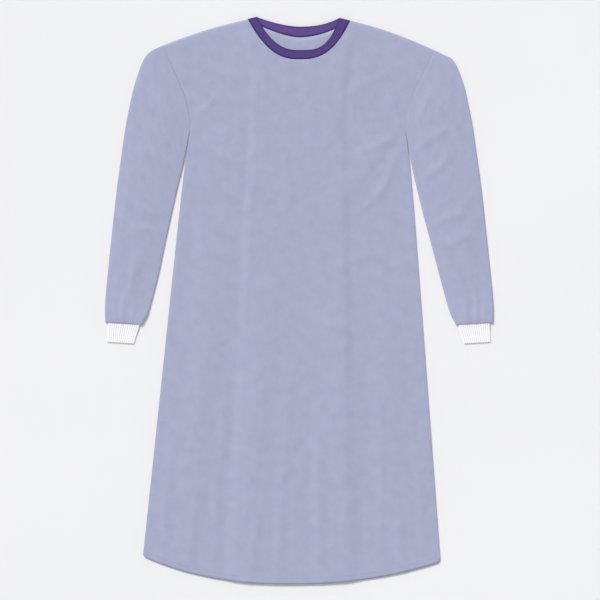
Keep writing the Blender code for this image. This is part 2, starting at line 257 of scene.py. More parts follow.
def bias_tape(name, face, deep):
    """Diagonal weave, with painted shade in its deep colour where the tape is turned under."""
    material, tree, shader = new_material(name)
    cut = millimetres(tree)
    split = add_node(tree, "SeparateXYZ", {0: cut})
    along, across = split.outputs["X"], split.outputs["Y"]
    rising = add_node(tree, "Math", {0: along, 1: across}, operation="ADD")
    falling = add_node(tree, "Math", {0: along, 1: across}, operation="SUBTRACT")
    threads = []
    for diagonal in (rising, falling):
        turn = add_node(tree, "Math", {0: diagonal},
                        {1: math.pi / THREAD_PITCH_MM}, operation="MULTIPLY")
        threads.append(add_node(tree, "Math", {0: turn}, operation="SINE"))
    weft = add_node(tree, "Math", {0: threads[1]}, {1: WEFT_SHOWS}, operation="MULTIPLY")
    weave = add_node(tree, "Math", {0: threads[0], 1: weft}, operation="ADD")
    from_middle = add_node(tree, "Math", {0: across}, {1: TAPE_WIDTH_MM / 2.0}, operation="SUBTRACT")
    out = add_node(tree, "Math", {0: from_middle}, operation="ABSOLUTE")
    # Painted shade: the colour deepens towards both long edges, where the tape rolls under.
    turned = add_node(tree, "MapRange", {"Value": out},
                      {"From Min": TAPE_WIDTH_MM / 2.0 - EDGE_SHADE_MM,
                       "From Max": TAPE_WIDTH_MM / 2.0}, interpolation_type="SMOOTHSTEP")
    dye = add_node(tree, "TexNoise", {"Vector": cut},
                   {"Scale": DYE_PATCHES_PER_MM, "Detail": DYE_DETAIL})
    patchy = add_node(tree, "MapRange", {"Value": dye},
                      {"From Min": NOISE_LOW, "From Max": NOISE_HIGH, "To Max": DYE_DEEPENS})
    darker_dye_and_edge_shade = add_node(tree, "Math", {0: turned, 1: patchy}, operation="ADD", use_clamp=True)
    colour = add_node(tree, "Mix", {0: darker_dye_and_edge_shade}, {6: linear(face), 7: linear(deep)}, data_type="RGBA")
    bump = add_node(tree, "Bump", {"Height": weave},
                    {"Strength": TAPE_BUMP_STRENGTH, "Distance": TAPE_BUMP_MM * MM})
    finish_material(tree, shader, colour, bump, TAPE_FINISH)
    return material


# Each second colour is the deeper purple: random dye patches, and the painted shade of the rolled
# edges.
front_tape = bias_tape("woven_bias_tape_front", "#594582", "#3A2F66")
back_tape = bias_tape("woven_bias_tape_back", "#664D8F", "#43366C")
print("tape threads drawn every", THREAD_PITCH_MM, "mm")

# %% [markdown]
# ## Rib knit for the cuffs
# The cuffs are polyester, knitted in ribs that hug the wrist. A rib is a column of stitches,
# and each stitch shows as a small V. The ribs are real relief in the mesh below. The Vs are
# too fine for that: a stitch is about 1 mm high, drawn 2 mm high as a bump. The white yarn is
# painted a little grey in the furrows between the ribs: that grey is painted shade.

# %% Rib knit material
CUFF_RIBS = 14
CUFF_WIDTH_MM = 69.5
RIB_PITCH_MM = CUFF_WIDTH_MM / CUFF_RIBS
STITCH_HIGH_MM = 2.0
STITCH_SLOPE = 1.3
HALF_RIB = 0.5
FURROW_SHADE_FROM = 0.22
KNIT_BUMP_MM = 0.18
KNIT_BUMP_STRENGTH = 0.5
KNIT_FINISH = Finish(roughness=0.85, specular=0.20, sheen=0.15, sheen_roughness=0.40)


def rib_knit(name, rib, furrow):
    """Rows of Vs on every rib, and painted shade: a greyer colour towards the furrows."""
    material, tree, shader = new_material(name)
    cut = millimetres(tree)
    split = add_node(tree, "SeparateXYZ", {0: cut})
    ribs = add_node(tree, "Math", {0: split.outputs["X"]}, {1: 1.0 / RIB_PITCH_MM},
                    operation="MULTIPLY")
    place = add_node(tree, "Math", {0: ribs}, operation="FRACT")
    centred = add_node(tree, "Math", {0: place}, {1: HALF_RIB}, operation="SUBTRACT")
    side = add_node(tree, "Math", {0: centred}, operation="ABSOLUTE")
    slope = add_node(tree, "Math", {0: side}, {1: STITCH_SLOPE}, operation="MULTIPLY")
    rows = add_node(tree, "Math", {0: split.outputs["Y"]}, {1: 1.0 / STITCH_HIGH_MM},
                    operation="MULTIPLY")
    vee = add_node(tree, "Math", {0: rows, 1: slope}, operation="ADD")
    turn = add_node(tree, "Math", {0: vee}, {1: 2.0 * math.pi}, operation="MULTIPLY")
    stitch = add_node(tree, "Math", {0: turn}, operation="SINE")
    # Painted shade: the yarn turns grey towards the furrows between the ribs.
    low = add_node(tree, "MapRange", {"Value": side},
                   {"From Min": FURROW_SHADE_FROM, "From Max": HALF_RIB}, interpolation_type="SMOOTHSTEP")
    colour = add_node(tree, "Mix", {0: low}, {6: linear(rib), 7: linear(furrow)}, data_type="RGBA")
    bump = add_node(tree, "Bump", {"Height": stitch},
                    {"Strength": KNIT_BUMP_STRENGTH, "Distance": KNIT_BUMP_MM * MM})
    finish_material(tree, shader, colour, bump, KNIT_FINISH)
    return material


# The second colour is the painted shade of the furrows.
cuff_knit = rib_knit("rib_knitted_polyester", "#FDFCFE", "#E8E8F0")
print("ribs every", round(RIB_PITCH_MM, 2), "mm")

# %% [markdown]
# ## Sewing thread and the table
# Spun polyester thread is smoother than the cloth, so it keeps a small highlight. The table
# is a matt white laminate, a little darker than the cuffs, so that their white still shows.
# Where it curves up, far out, it turns away from the softbox on one side. There the laminate
# is given a painted glow, an emission that grows with height, so that it stays as pale as the
# level part. What the softbox loses on a round curve grows with the square root of the height.

# %% Thread and table materials
GRAIN_SCALE = 60.0
GRAIN_DETAIL = 3.0
GRAIN_DARKEST = 0.97
THREAD_ROUGHNESS = 0.5
THREAD_SHEEN = 0.1
TABLE_WHITE = "#F1F1F3"
TABLE_ROUGHNESS = 0.9
PAINTED_GLOW_STRENGTH = 0.46
PAINTED_GLOW_FULL_UP = 1.9


def plain(name, hex_colour, roughness, sheen):
    """A nearly even surface: a little mottling keeps it from looking like plastic."""
    material, tree, shader = new_material(name)
    grain = add_node(tree, "TexNoise", values={"Scale": GRAIN_SCALE, "Detail": GRAIN_DETAIL})
    fade = add_node(tree, "MapRange", {"Value": grain},
                    {"From Min": NOISE_LOW, "From Max": NOISE_HIGH, "To Min": GRAIN_DARKEST})
    colour = add_node(tree, "VectorMath", {"Scale": fade},
                      {0: linear(hex_colour)[:3]}, operation="SCALE")
    tree.links.new(colour.outputs["Vector"], shader.inputs["Base Color"])
    shader.inputs["Roughness"].default_value = roughness
    shader.inputs["Sheen Weight"].default_value = sheen
    return material


def painted_glow(material, hex_colour):
    """Painted light: makes a surface glow more the higher it reaches above the table."""
    tree = material.node_tree
    place = add_node(tree, "TexCoord")
    height = add_node(tree, "SeparateXYZ", {0: place.outputs["Object"]})
    root = add_node(tree, "Math", {0: height.outputs["Z"]}, {1: 0.5}, operation="POWER")
    # Painted light: the glow grows with height, though the surface is no lamp.
    glow = add_node(tree, "MapRange", {"Value": root},
                    {"From Max": math.sqrt(PAINTED_GLOW_FULL_UP), "To Max": PAINTED_GLOW_STRENGTH})
    shader = tree.nodes["Principled BSDF"]
    shader.inputs["Emission Color"].default_value = linear(hex_colour)
    tree.links.new(glow.outputs["Result"], shader.inputs["Emission Strength"])


cloth_thread = plain("spun_polyester_thread_blue", "#9094B4", THREAD_ROUGHNESS, THREAD_SHEEN)
tape_thread = plain("spun_polyester_thread_purple", "#3E3268", THREAD_ROUGHNESS, THREAD_SHEEN)
table_top = plain("matt_white_laminate", TABLE_WHITE, TABLE_ROUGHNESS, 0.0)
# Painted light: the cove of the table glows, though it is no lamp.
painted_glow(table_top, TABLE_WHITE)
print("materials:", len(bpy.data.materials))

# %% [markdown]
# ## The cut of the gown
# A maker drafts a gown from a few heights and widths, joined by smooth curves. The same
# sizes as the solids were made to are used here, in metres: the draft is symmetric, and
# lay() then moves each point to where it lies, with the skirt leaning a little to one side,
# the hem tilted and one shoulder lower. Every function takes arrays, so a whole panel of
# points is worked out at once.

# %% Sizes of the cut
WALL = 1.2 * MM
TAPE_WALL = 1.6 * MM
SEAM_GAP = 0.3 * MM
LAYER_RISE = TAPE_WALL + SEAM_GAP
HEM_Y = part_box("front")[0].y
HEM_CORNER_Y = -0.5690
ARMPIT_Y = 0.3720
SHOULDER_Y = 0.5608
CHEST_HALF = 0.2367
SKIRT_HALF = 0.2417
SKIRT_FLARE = 0.0898
UNDERARM_EASE = 0.0600
SHOULDER_HALF = 0.2990
SHOULDER_ARCH = 0.0045
ARMHOLE_HOLLOW = 0.0115
UNDERARM_SKEW = 0.5
HEM_POWER = 2.3
NECK_HALF = 0.1110
FLAP_REACH = NECK_HALF / SHOULDER_HALF
FLAP_RAMP = 0.0900
RAMP_CLEARANCE = 0.0050

# %% Where a point of the draft lies
HEM_TILT = 0.0060
HEM_TILT_ENDS_Y = 0.0
LEAN = 0.0145
LEAN_ENDS_Y = 0.0200
LEAN_FULL_Y = 0.2830
SHOULDER_DROP = 0.0160
SHOULDER_DROP_FROM = 0.0915
SHOULDER_DROP_TO = 0.4190
SHOULDER_CORNER = 0.3140
SHOULDER_DROP_END = 0.3600
SHOULDER_DROP_FADE = 0.1500


def ease(value, start, end):
    """0 before start, 1 after end, and a soft rise between them."""
    share = np.clip((np.asarray(value, float) - start) / (end - start), 0.0, 1.0)
    return share * share * (3.0 - 2.0 * share)


def side_half(y):
    """Half width of the body below the armpit."""
    below = ARMPIT_Y - y
    return SKIRT_HALF + SKIRT_FLARE * below - (SKIRT_HALF - CHEST_HALF) * np.exp(-below / UNDERARM_EASE)


def lay(x, y, lean_share=1.0):
    """Where a point of the draft lies on the table."""
    lean = LEAN * np.maximum(SHOULDER_Y - y, 0.0) * lean_share
    drop = SHOULDER_DROP * ease(x, SHOULDER_DROP_FROM, SHOULDER_DROP_TO)
    drop = drop * (1.0 - ease(x, SHOULDER_CORNER, SHOULDER_DROP_END))
    drop = drop * ease(y, ARMPIT_Y, ARMPIT_Y + SHOULDER_DROP_FADE)
    tilt = HEM_TILT * (x / side_half(HEM_CORNER_Y)) ** 3
    tilt = tilt * (1.0 - ease(y, HEM_CORNER_Y, HEM_TILT_ENDS_Y))
    return x - lean, y - drop - tilt


print("half width at the hem", round(float(side_half(HEM_CORNER_Y)), 3), "m")

# %% [markdown]
# The neck has four curves: the seam of the binding on the front and on the back, and the
# binding's free edge on each. A power curve draws each half: flat in the middle and steeper
# towards its side point, more so with a higher power. The right side lies a little lower.

# %% Edges of the panels
NeckSide = namedtuple("NeckSide", "half side_y power")
NeckCurve = namedtuple("NeckCurve", "middle_y left right")
FRONT_SEAM = NeckCurve(0.5315, NeckSide(NECK_HALF, 0.6187, 2.40), NeckSide(NECK_HALF, 0.6155, 2.80))
FRONT_EDGE = NeckCurve(0.5502, NeckSide(0.0928, 0.6232, 2.48), NeckSide(0.0885, 0.6208, 3.60))
BACK_SEAM = NeckCurve(0.5800, NeckSide(NECK_HALF, 0.6187, 1.55), NeckSide(NECK_HALF, 0.6155, 1.90))
BACK_EDGE = NeckCurve(0.6020, NeckSide(0.0928, 0.6232, 1.65), NeckSide(0.0885, 0.6208, 2.44))
HEM_CORNER_ROUND = 0.006


def neck_point(curve, turn):
    """x and y on a neck curve: turn is -1 at its left side point and 1 at its right."""
    left, right = curve.left, curve.right
    half = np.where(turn > 0.0, right.half, left.half)
    rise = np.where(turn > 0.0, right.side_y, left.side_y) - curve.middle_y
    power = np.where(turn > 0.0, right.power, left.power)
    return turn * half, curve.middle_y + rise * np.abs(turn) ** power


def armhole_hollow(share):
    turn = np.pi * share
    return ARMHOLE_HOLLOW * np.sin(turn) * (1.0 + UNDERARM_SKEW * np.cos(turn))


def armhole_half(share):
    return CHEST_HALF + (SHOULDER_HALF - CHEST_HALF) * share - armhole_hollow(share)


def hem_y(share):
    return HEM_Y + (HEM_CORNER_Y - HEM_Y) * np.abs(share) ** HEM_POWER


def top_y(share, seam):
    """Upper edge of a panel: its shoulders, and its neck seam between them."""
    out = np.clip((np.abs(share) - FLAP_REACH) / (1.0 - FLAP_REACH), 0.0, 1.0)
    side_y = np.where(share > 0.0, seam.right.side_y, seam.left.side_y)
    shoulder = side_y + (SHOULDER_Y - side_y) * out + SHOULDER_ARCH * np.sin(np.pi * out)
    return np.where(np.abs(share) > FLAP_REACH, shoulder, neck_point(seam, share / FLAP_REACH)[1])


print("the front neck is", round((FRONT_SEAM.left.side_y - FRONT_SEAM.middle_y) / MM), "mm deep")

# %% [markdown]
# ## From a grid of points to cloth
# Each panel is a grid of points. The faces join four neighbours, the cut goes into a UV map,
# and a Solidify modifier gives the sheet its thickness on the side away from its face, so
# the face itself stays on the solid's form. A tube is the same grid with its last column
# joined to its first; its cut has one column more, so that the pattern doesn't run back.

# %% Mesh helpers
CLOTH_THICK = 1.0 * MM


def grid_numbers(grid):
    """A number for each point of a grid."""
    return np.arange(grid.shape[0] * grid.shape[1]).reshape(grid.shape[:2])


def joined(numbers):
    """The same numbers with the first column again at the end, which closes a tube."""
    return np.concatenate([numbers, numbers[:, :1]], axis=1)


def quads(numbers):
    """The corners of every face of a grid of point numbers, going round each face."""
    corners = [numbers[:-1, :-1], numbers[:-1, 1:], numbers[1:, 1:], numbers[1:, :-1]]
    return np.stack(corners, axis=-1).reshape(-1, 4)


def length_along(path):
    """How far each point of a path is from its first, along the path."""
    steps = np.linalg.norm(np.diff(path, axis=0), axis=1)
    return np.concatenate([[0.0], np.cumsum(steps)])


def add_object(name, points, faces, corner_cuts, material):
    """A smooth mesh of one material; without cuts, its UV map is left at zero."""
    if corner_cuts is None:
        corner_cuts = np.zeros((sum(len(face) for face in faces), 2))
    mesh = bpy.data.meshes.new(name)
    mesh.from_pydata(points, [], faces)
    uv_map = mesh.uv_layers.new(name="cut")
    uv_map.data.foreach_set("uv", np.asarray(corner_cuts, np.float32).ravel())
    mesh.materials.append(material)
    mesh.shade_smooth()
    piece = bpy.data.objects.new(name, mesh)
    bpy.context.scene.collection.objects.link(piece)
    return piece


def add_cloth(name, grid, cut, material, closed=False, turned=False, thick=CLOTH_THICK):
    """A sheet of cloth from a grid of points and the same grid of its cut."""
    numbers = joined(grid_numbers(grid)) if closed else grid_numbers(grid)
    step = -1 if turned else 1
    faces = quads(numbers)[:, ::step].tolist()
    corner_cuts = cut.reshape(-1, 2)[quads(grid_numbers(cut))[:, ::step].ravel()]
    piece = add_object(name, grid.reshape(-1, 3).tolist(), faces, corner_cuts, material)
    solidify = piece.modifiers.new("thickness", "SOLIDIFY")
    solidify.thickness = thick
    solidify.offset = -1.0
    return piece


def sheet_area(piece):
    """Area of one face of the cloth, before its thickness is added."""
    return sum(face.area for face in piece.data.polygons)


# %% [markdown]
# ## The table and the cove
# The table is one level disc. Far out it curves up into a round wall, as a photographer's
# cove does, so that a low view sees pale paper behind the gown instead of a horizon. The
# wall is lower than the softbox, so that it throws no shadow.

# %% Table and cove
TABLE_REACH = 14.0
COVE_RADIUS = 8.0
COVE_TURN = math.radians(75)
COVE_SIDES = 96
COVE_RINGS = 16


def add_table():
    """Rings of points from the edge of the level part up the cove, and one level face inside."""
    turns = np.linspace(0.0, COVE_TURN, COVE_RINGS)[:, None]
    around = np.linspace(0.0, 2.0 * np.pi, COVE_SIDES, endpoint=False)[None, :]
    reach = TABLE_REACH + COVE_RADIUS * np.sin(turns)
    height = COVE_RADIUS * (1.0 - np.cos(turns)) + 0.0 * around
    points = np.stack([reach * np.cos(around), reach * np.sin(around), height], axis=-1)
    numbers = grid_numbers(points)
    faces = quads(joined(numbers))[:, ::-1].tolist() + [numbers[0].tolist()]
    return add_object("table", points.reshape(-1, 3).tolist(), faces, None, table_top)


table = add_table()
print("table at z = 0,", 2 * TABLE_REACH, "m wide, then", round(table.dimensions.z, 1), "m up")

# %% [markdown]
# ## Folds
# Soft cloth on a table never lies quite level. Each fold here is a low ridge along a line
# that bends a little, fading out at both ends. The eight wide ones follow the solid's own. The
# narrow ones are what the hand leaves when it smooths a gown flat: short pulls that spread
# from the armpits, where the sleeve drags on the body, and long shallow ones down the skirt.
# Some have a negative height: a trough beside a ridge makes a crease look pressed. The tables
# are in millimetres.

# %% Folds of the front
Fold = namedtuple("Fold", "start_x start_y end_x end_y bend half_width height")
FOLD_TAPER = 0.6
FOLD_FREE_SIDE = 0.15
FOLD_FREE_TOP = 0.08
WIDE_FOLDS = (
    Fold(-62, 60, -98, -660, 4, 34, 2.2),
    Fold(90, 120, 128, -650, -5, 38, 2.4),
    Fold(-178, 210, -232, -610, -4, 32, 1.9),
    Fold(196, 60, 238, -620, 4, 30, 1.8),
    Fold(-196, 385, -52, 215, 5, 26, 1.6),
    Fold(190, 370, 60, 170, -6, 28, 1.8),
    Fold(-150, 560, -85, 400, 3, 26, 1.2),
    Fold(158, 550, 100, 410, -3, 24, 1.1),
)
NARROW_FOLDS = (
    Fold(-228, 362, -118, 296, 6, 9, 1.6),
    Fold(-222, 378, -140, 352, 3, 8, -0.6),
    Fold(-232, 334, -166, 226, -5, 10, 1.3),
    Fold(-230, 405, -172, 462, 4, 9, 1),
    Fold(226, 372, 128, 322, -6, 9, 1.4),
    Fold(230, 350, 150, 262, 5, 8, -0.6),
    Fold(228, 330, 176, 206, 4, 11, 1.3),
    Fold(236, 412, 188, 486, -4, 9, 1),
    Fold(-58, 524, -78, 436, 3, 8, 0.8),
    Fold(28, 524, 20, 452, -2, 8, 0.6),
    Fold(74, 542, 98, 458, -3, 9, 0.8),
    Fold(-168, 62, -30, 20, 8, 13, 1),
    Fold(18, -46, 166, -84, -9, 13, 1),
    Fold(-10, 300, -28, 140, 4, 12, 0.8),
    Fold(-18, -130, -36, -640, -6, 14, 1.4),
    Fold(58, -220, 66, -650, 5, 13, 1.3),
    Fold(36, -260, 40, -640, 4, 12, -0.6),
    Fold(-146, -180, -170, -640, 5, 13, 1.3),
    Fold(184, -160, 194, -630, -4, 13, 1.3),
    Fold(-262, -260, -286, -620, 4, 11, 1.1),
    Fold(270, -300, 292, -610, -4, 11, 1.1),
    Fold(152, -300, 158, -640, 3, 12, -0.6),
    Fold(-206, 300, -100, 196, 6, 9, 0.9),
    Fold(210, 282, 122, 176, -5, 9, 0.9),
    Fold(-196, 520, -120, 470, -4, 9, 0.8),
    Fold(206, 508, 124, 462, 4, 9, 0.8),
    Fold(-210, 120, -96, 96, 6, 10, 0.8),
    Fold(66, 62, 206, 104, -7, 10, 0.8),
    Fold(-230, -60, -112, -128, 7, 11, 0.8),
    Fold(110, -180, 252, -150, 6, 11, 0.7),
    Fold(-110, -340, -20, -372, -6, 11, 0.6),
    Fold(-66, -420, -92, -650, 4, 10, 0.9),
    Fold(4, -400, -4, -650, -4, 10, 0.8),
    Fold(232, -400, 250, -640, 4, 10, 0.8),
    Fold(-208, -400, -236, -620, -4, 10, 0.9),
)


def folds_at(x, y, folds):
    """Height of all the folds together at each point."""
    total = np.zeros_like(x)
    for fold in folds:
        start_x, start_y, end_x, end_y, bend, half_width, height = (size * MM for size in fold)
        run_x, run_y = end_x - start_x, end_y - start_y
        length = math.hypot(run_x, run_y)
        along = np.clip(((x - start_x) * run_x + (y - start_y) * run_y) / length**2, 0.0, 1.0)
        across = ((x - start_x) * run_y - (y - start_y) * run_x) / length
        across = across - bend * np.sin(np.pi * along)
        crest = height * np.abs(np.sin(np.pi * along)) ** FOLD_TAPER
        total += crest * np.exp(-((across / half_width) ** 2))
    return total


print(len(WIDE_FOLDS), "wide folds and", len(NARROW_FOLDS), "narrow ones")

# %% [markdown]
# ## How the layers lie
# The back opens down its middle, and each of its flaps reaches across the neck. The outer
# flap lies on the table. The inner one climbs onto it, and the front lies on both. A share
# says how far a point is from the middle (0) to the side seam (1 or -1).
# Where two panels are sewn together their edges roll towards each other, which closes the
# gap between the shells and draws the shallow groove that a plain seam shows.

# %% Rest heights and seam rolls
SEAM_ROLL = 0.45 * MM
ARM_SEAM_ROLL = 0.25 * MM
SEAM_ROLL_WIDTH = 7.0 * MM
HEM_TURNED = 12.0 * MM
HEM_RISE = 0.45 * MM
HEM_STEP_BELOW = 1.5 * MM
HEM_STEP_ABOVE = 3.0 * MM
FAR_FROM_SHOULDER = 1.0


def climb(share):
    """How far the inner flap has climbed onto the outer one, from 0 to 1."""
    return ease(share, -FLAP_REACH - FLAP_RAMP, -FLAP_REACH - RAMP_CLEARANCE)


def panel_draft(share, level, seam):
    """Draft x and y of a panel's points, and how far up from the hem each one is."""
    up = (level - HEM_CORNER_Y) / (SHOULDER_Y - HEM_CORNER_Y)
    armhole = np.clip((level - ARMPIT_Y) / (SHOULDER_Y - ARMPIT_Y), 0.0, 1.0)
    half = np.where(level < ARMPIT_Y, side_half(np.minimum(level, ARMPIT_Y)), armhole_half(armhole))
    hem_half = side_half(HEM_CORNER_Y)
    corner = np.clip((np.abs(share) * hem_half - hem_half) / HEM_CORNER_ROUND + 1.0, 0.0, 1.0)
    foot = hem_y(share) + HEM_CORNER_ROUND * (1.0 - np.sqrt(1.0 - corner**2))
    return share * half, foot + (top_y(share, seam) - foot) * up, half, up


def seam_roll(share, level, half, up):
    """How far a sewn edge has rolled: most on the seam, nothing past its width."""
    from_side = (1.0 - np.abs(share)) * half
    from_shoulder = (1.0 - up) * (SHOULDER_Y - HEM_CORNER_Y)
    from_shoulder = np.where(np.abs(share) > FLAP_REACH, from_shoulder, FAR_FROM_SHOULDER)
    side_roll = np.where(level < ARMPIT_Y, SEAM_ROLL, ARM_SEAM_ROLL)
    at_side = side_roll * (1.0 - ease(from_side, 0.0, SEAM_ROLL_WIDTH))
    at_shoulder = SEAM_ROLL * (1.0 - ease(from_shoulder, 0.0, SEAM_ROLL_WIDTH))
    return np.maximum(at_side, at_shoulder)


def hem_rise(up):
    """The hem is turned up once, and its double cloth stands a little higher."""
    from_hem = up * (SHOULDER_Y - HEM_CORNER_Y)
    return HEM_RISE * (1.0 - ease(from_hem, HEM_TURNED - HEM_STEP_BELOW, HEM_TURNED + HEM_STEP_ABOVE))


def front_point(share, level):
    """Where a point of the front lies, and its place on the cut."""
    x, y, half, up = panel_draft(share, level, FRONT_SEAM)
    free = ease(1.0 - np.abs(share), 0.0, FOLD_FREE_SIDE) * ease(1.0 - up, 0.0, FOLD_FREE_TOP)
    folds = (folds_at(x, y, WIDE_FOLDS) + folds_at(x, y, NARROW_FOLDS)) * free
    rest = LAYER_RISE * (1.0 + climb(-np.abs(share)))
    top = rest + WALL + folds + hem_rise(up) - seam_roll(share, level, half, up)
    return np.stack([*lay(x, y), top], axis=-1), np.stack([x, y], axis=-1)


def back_point(share, level, rest):
    """The same for a back flap, whose edges roll up to meet the front's."""
    x, y, half, up = panel_draft(share, level, BACK_SEAM)
    top = rest + WALL + seam_roll(share, level, half, up)
    return np.stack([*lay(x, y), top], axis=-1), np.stack([x, y], axis=-1)


print("the front's middle rests", round(2 * LAYER_RISE / MM, 1), "mm up")

# %% [markdown]
# ## The front
# One panel from the left side seam to the right, as a grid of about 4 mm. Its columns pass
# exactly through the corners of the neck, and crowd together at the side seams, where the
# hem's corners are rounded as a turned and stitched corner is.

# %% Front
ROUND_COLUMNS = 8
ROUND_FROM = 0.97
SIDE_STEPS = 44
NECK_STEPS = 60
SKIRT_STEPS = 212
ARMHOLE_STEPS = 44


def side_shares(steps):
    """Columns from the neck's corner to the side seam, closer together at the seam."""
    plain_part = np.linspace(FLAP_REACH, ROUND_FROM, steps + 1)
    turns = np.linspace(0.0, np.pi / 2.0, ROUND_COLUMNS + 1)[1:]
    return np.concatenate([plain_part, ROUND_FROM + (1.0 - ROUND_FROM) * np.sin(turns)])


def panel_grid(side_steps, neck_steps, skirt_steps, armhole_steps):
    """Shares and levels of a whole panel, as two grids."""
    side = side_shares(side_steps)
    neck = np.linspace(-FLAP_REACH, FLAP_REACH, neck_steps + 1)[1:-1]
    shares = np.concatenate([-side[::-1], neck, side])
    skirt = np.linspace(HEM_CORNER_Y, ARMPIT_Y, skirt_steps + 1)[:-1]
    armhole = np.linspace(ARMPIT_Y, SHOULDER_Y, armhole_steps + 1)
    return np.meshgrid(shares, np.concatenate([skirt, armhole]))


front_share, front_level = panel_grid(SIDE_STEPS, NECK_STEPS, SKIRT_STEPS, ARMHOLE_STEPS)
front = add_cloth("gown_front", *front_point(front_share, front_level), gown_cloth)
print("front:", len(front.data.polygons), "faces,", round(sheet_area(front), 3), "m2")

# %% [markdown]
# ## The back flaps
# Both are cut like the front but with a shallower neck, and each stops at its free edge under
# the far side of the neck. Little of them shows, so their grid is coarser.

# %% Back flaps
back_share, back_level = panel_grid(side_steps=22, neck_steps=30, skirt_steps=72, armhole_steps=18)


def add_flap(name, kept, rest):
    """A flap from the columns that it reaches over."""
    share = back_share[:, kept]
    return add_cloth(name, *back_point(share, back_level[:, kept], rest(share)), gown_cloth)


EDGE_SLACK = 1e-6
outer_flap = add_flap("gown_back_left", back_share[0] > -FLAP_REACH - EDGE_SLACK, lambda share: 0.0)
inner_flap = add_flap("gown_back_right", back_share[0] < FLAP_REACH + EDGE_SLACK,
                      lambda share: LAYER_RISE * climb(share))
print("flaps:", round(sheet_area(outer_flap), 3), "and", round(sheet_area(inner_flap), 3), "m2")

# %% [markdown]
# ## The sleeves
# Each sleeve is one cut folded into a tube and pressed flat. It is measured where its outer
# and its inner edge lie at fifteen places from the armhole to the wrist, and a Catmull-Rom
# curve passes smoothly through them. Round each place goes a flattened ring: over the top,
# round the outer fold and back underneath. The top has its own pulls: from the armpit, at
# the elbow, and short ones where the end is drawn in towards the cuff.

# %% Sleeve shape
Station = namedtuple("Station", "outer_x outer_y inner_x inner_y")
SLEEVE_STATIONS = (
    Station(SHOULDER_HALF, SHOULDER_Y, CHEST_HALF, ARMPIT_Y),
    Station(0.3145, 0.5543, 0.2408, 0.3520),
    Station(0.3262, 0.5476, 0.2437, 0.3350),
    Station(0.3362, 0.5378, 0.2468, 0.3180),
    Station(0.3475, 0.5160, 0.2505, 0.3000),
    Station(0.3618, 0.4735, 0.2545, 0.2820),
    Station(0.3702, 0.4385, 0.2610, 0.2550),
    Station(0.3804, 0.3870, 0.2700, 0.2170),
    Station(0.3900, 0.3220, 0.2795, 0.1770),
    Station(0.4011, 0.2400, 0.2925, 0.1240),
    Station(0.4104, 0.1560, 0.3040, 0.0740),
    Station(0.4187, 0.0770, 0.3165, 0.0250),
    Station(0.4245, 0.0180, 0.3255, -0.0080),
    Station(0.4266, -0.0200, 0.3340, -0.0330),
    Station(0.4258, -0.0475, 0.3445, -0.0525),
)
LAST_STATION = len(SLEEVE_STATIONS) - 1
BOW_RINGS = 5
LEAN_RINGS = 2
SLEEVE_LOFT = 2.2 * MM
LOFT_FULL = 0.30
LOFT_FADES = 0.70
LOFT_GONE = 0.95
SLIT = LAYER_RISE - WALL
WRIST_SLIT = 3.4 * MM
SLIT_OPENS = 0.80
SLIT_OPEN = 0.97
RING_STEPS = 14
TOP_STEPS = 40
EDGE_TURNS = np.radians([0.0, 22.5, 45.0, 67.5, 90.0])
SLEEVE_FOLDS = {
    -1.0: (
        Fold(252, 318, 332, 398, 5, 10, 1.6),
        Fold(262, 276, 352, 336, -5, 10, 1.4),
        Fold(258, 372, 306, 462, 4, 10, 1),
        Fold(286, 180, 368, 226, 6, 9, 1.5),
        Fold(298, 142, 378, 162, -5, 9, 1.4),
        Fold(302, 160, 350, 184, 3, 7, -0.6),
        Fold(372, 310, 392, 140, 4, 12, 1.2),
        Fold(352, 104, 376, -20, -4, 10, 1.2),
        Fold(362, 12, 368, -62, 1, 6, 1),
        Fold(386, 20, 388, -62, -1, 6, 1.2),
        Fold(408, 16, 408, -58, 1, 6, 0.9),
    ),
    1.0: (
        Fold(250, 322, 336, 380, -5, 10, 1.5),
        Fold(266, 262, 346, 330, 5, 11, 1.4),
        Fold(262, 380, 300, 476, -4, 10, 1),
        Fold(292, 160, 372, 192, -6, 9, 1.5),
        Fold(300, 116, 382, 148, 5, 9, 1.4),
        Fold(306, 140, 356, 164, 3, 7, -0.6),
        Fold(376, 340, 398, 180, -4, 12, 1.2),
        Fold(346, 88, 372, -24, 4, 10, 1.4),
        Fold(364, 8, 368, -62, -1, 6, 1),
        Fold(390, 24, 390, -62, 1, 6, 1),
        Fold(410, 10, 409, -58, 1, 6, 0.9),
    ),
}


def through(stations, steps):
    """A Catmull-Rom curve through the stations, with as many steps between each two."""
    rows = np.array(stations, float)
    padded = np.vstack([2 * rows[0] - rows[1], rows, 2 * rows[-1] - rows[-2]])
    share = np.linspace(0.0, 1.0, steps, endpoint=False)[:, None]
    curve = []
    for before, here, after, later in zip(padded, padded[1:], padded[2:], padded[3:]):
        cubic = 3.0 * (here - after) + later - before
        square = 2.0 * before - 5.0 * here + 4.0 * after - later
        curve.append(here + 0.5 * share * (after - before + share * (square + share * cubic)))
    return np.vstack([*curve, rows[-1:]])


def flat_ring(width, radius, shares):
    """Distance from the inner edge and height (-1 to 1) of the points round a flattened tube."""
    near = radius * (1.0 - np.cos(EDGE_TURNS))
    rise = np.sin(EDGE_TURNS)
    over = np.concatenate([near, width * shares, (width - near)[::-1]])
    height = np.concatenate([rise, np.ones(len(shares)), rise[::-1]])
    return np.concatenate([over, over[-2:0:-1]]), np.concatenate([height, -height[-2:0:-1]])


def way_round(distance, width):
    """How far along its cut each point of a flattened tube is: over the top, then back beneath."""
    on_top = np.arange(len(distance)) < len(distance) / 2
    return np.append(np.where(on_top, distance, 2.0 * width - distance), 2.0 * width)


print("sleeve edge measured at", len(SLEEVE_STATIONS), "places")

